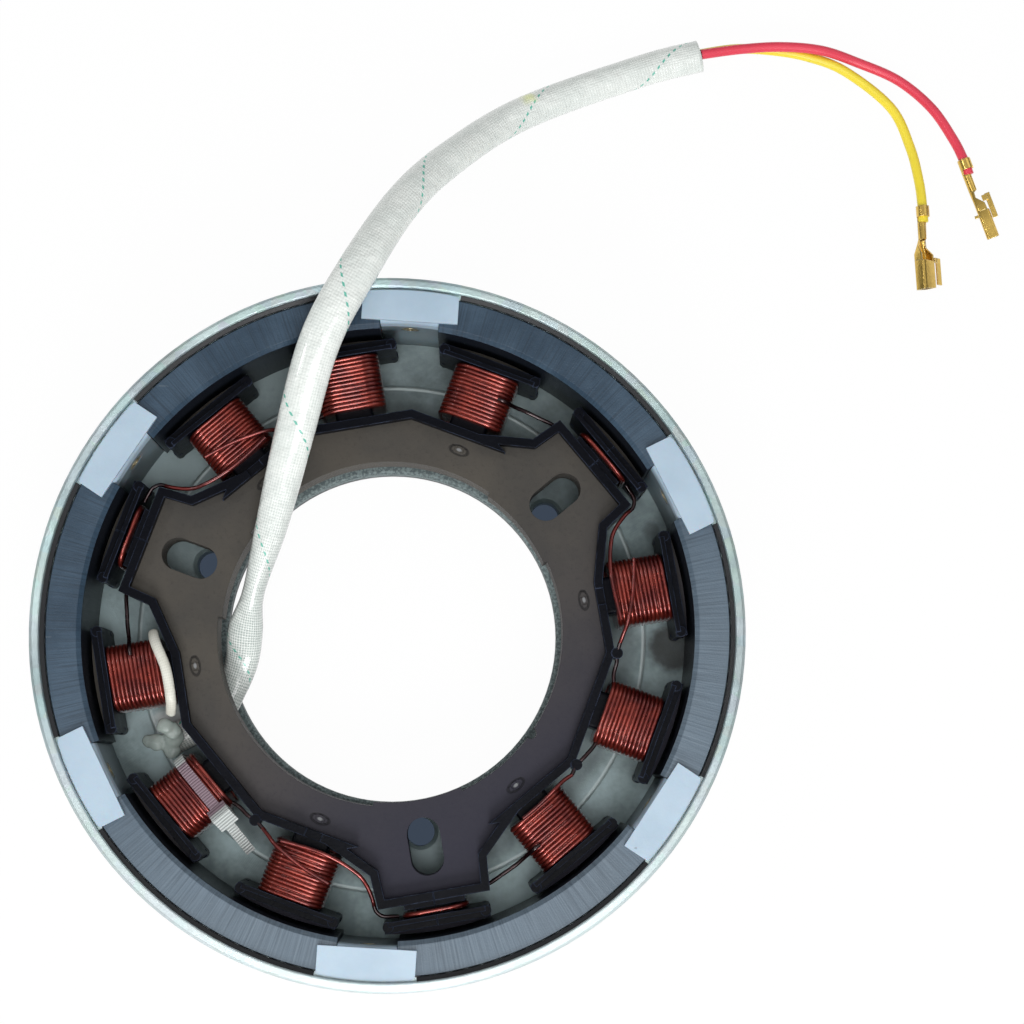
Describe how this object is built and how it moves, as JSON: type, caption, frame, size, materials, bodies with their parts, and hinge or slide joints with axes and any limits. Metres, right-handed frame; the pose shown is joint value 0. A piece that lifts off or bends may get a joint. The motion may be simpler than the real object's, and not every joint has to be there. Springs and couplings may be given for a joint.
{
  "type": "flywheel magneto",
  "caption": "Cup shaped flywheel rotor lined with arc magnets around a toothed stator with copper windings and two sleeved leads.",
  "frame": {"origin": "centre of the rotor's underside, on its axis", "axes": "+Z along the rotor axis out of the open side of the cup"},
  "size_m": [0.2267, 0.2258, 0.039],
  "materials": {
    "zinc": "zinc plated, turned",
    "ferrite": "ground ferrite",
    "nylon": "moulded nylon",
    "rivet_brass": "tubular",
    "adhesive": "hardened bead",
    "core_steel": "dark varnished laminations",
    "insulator": "moulded, glass filled",
    "enamelled_copper": "red brown enamel over copper",
    "sleeving": "varnished glass braid",
    "silicone": "cured sealant",
    "tie_nylon": "natural nylon",
    "sleeve": "braided, coated, with a dashed tracer",
    "red_insulation": "extruded",
    "yellow_insulation": "extruded",
    "terminal_brass": "pressed sheet"
  },
  "bodies": {
    "stator": {"stator_core": "core_steel", "front_insulator_1": "insulator", "front_insulator_2": "insulator", "front_insulator_3": "insulator", "rear_insulator_1": "insulator", "rear_insulator_2": "insulator", "rear_insulator_3": "insulator", "coil_1": "enamelled_copper", "coil_2": "enamelled_copper", "coil_3": "enamelled_copper", "coil_4": "enamelled_copper", "coil_5": "enamelled_copper", "coil_6": "enamelled_copper", "coil_7": "enamelled_copper", "coil_8": "enamelled_copper", "coil_9": "enamelled_copper", "coil_10": "enamelled_copper", "coil_11": "enamelled_copper", "coil_12": "enamelled_copper", "jumper_wires": "enamelled_copper", "splice_sleeving": "sleeving", "silicone_dab": "silicone", "cable_tie": "tie_nylon", "lead_sleeve": "sleeve", "red_lead": "red_insulation", "yellow_lead": "yellow_insulation", "red_terminal": "terminal_brass", "yellow_terminal": "terminal_brass"},
    "rotor": {"rotor_cup": "zinc", "magnet_1": "ferrite", "magnet_2": "ferrite", "magnet_3": "ferrite", "magnet_4": "ferrite", "magnet_5": "ferrite", "magnet_6": "ferrite", "spacer_1": "nylon", "spacer_2": "nylon", "spacer_3": "nylon", "spacer_4": "nylon", "spacer_5": "nylon", "spacer_6": "nylon", "spacer_rivets": "rivet_brass", "magnet_adhesive": "adhesive"}
  },
  "joints": [
    {"name": "rotor_spin", "type": "hinge", "parent": "stator", "child": "rotor", "pos_m": [0, 0, 0], "axis": [0, 0, 1], "continuous": true}
  ]
}
